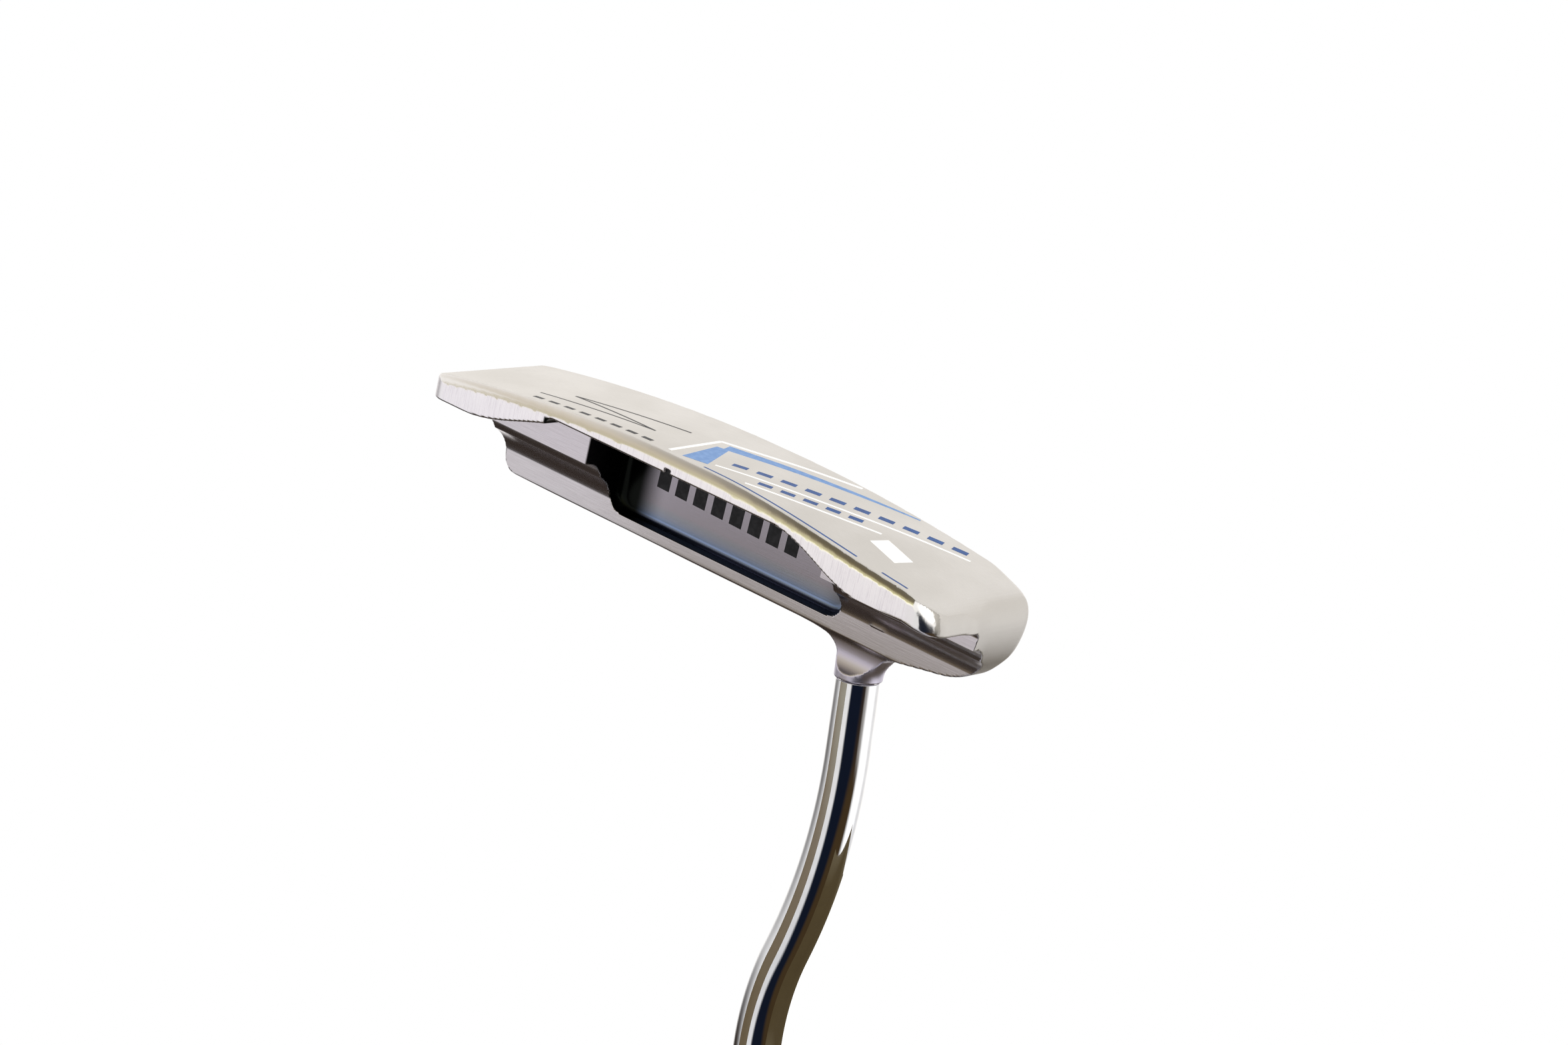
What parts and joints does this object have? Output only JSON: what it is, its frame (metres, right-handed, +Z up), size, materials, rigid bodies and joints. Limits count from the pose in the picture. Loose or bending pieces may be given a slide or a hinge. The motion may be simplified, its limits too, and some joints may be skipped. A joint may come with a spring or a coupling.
{
  "type": "blade putter",
  "caption": "Right-handed blade putter: milled steel head with stepped rear cavity and short neck, double-bend chromed shaft and a flat-fronted rubber grip.",
  "frame": {"origin": "where the middle of the sole rests on the ground, 5 mm behind the leading edge, at address", "axes": "+X from heel to toe, +Y towards the target (out of the striking face), +Z up"},
  "size_m": [0.368, 0.0401, 0.8379],
  "materials": {
    "milled_steel": "bead-blasted sole, fine milled flats",
    "chrome": "mirror",
    "epoxy": "cured resin",
    "tape": "paper-backed adhesive tape",
    "grip_rubber": "fine moulded texture",
    "cap_rubber": "smooth moulded",
    "paint_white": "paint fill",
    "paint_blue": "paint fill",
    "paint_light_blue": "paint fill",
    "paint_black": "paint fill"
  },
  "bodies": {
    "root": {"putter_head": "milled_steel", "shaft": "chrome", "hosel_bond": "epoxy", "grip_tape": "tape", "grip": "grip_rubber", "grip_cap": "cap_rubber", "paint_line_long": "paint_white", "paint_line_short": "paint_white", "paint_outline_white": "paint_white", "paint_lozenge_white": "paint_white", "pinstripe_long": "paint_blue", "pinstripe_short": "paint_blue", "paint_band_blue": "paint_light_blue", "dashes_long_blue": "paint_blue", "dashes_short_blue": "paint_blue", "dashes_black": "paint_black", "flourish_black": "paint_black", "cavity_dashes_black": "paint_black", "sight_line": "paint_black"}
  },
  "joints": []
}
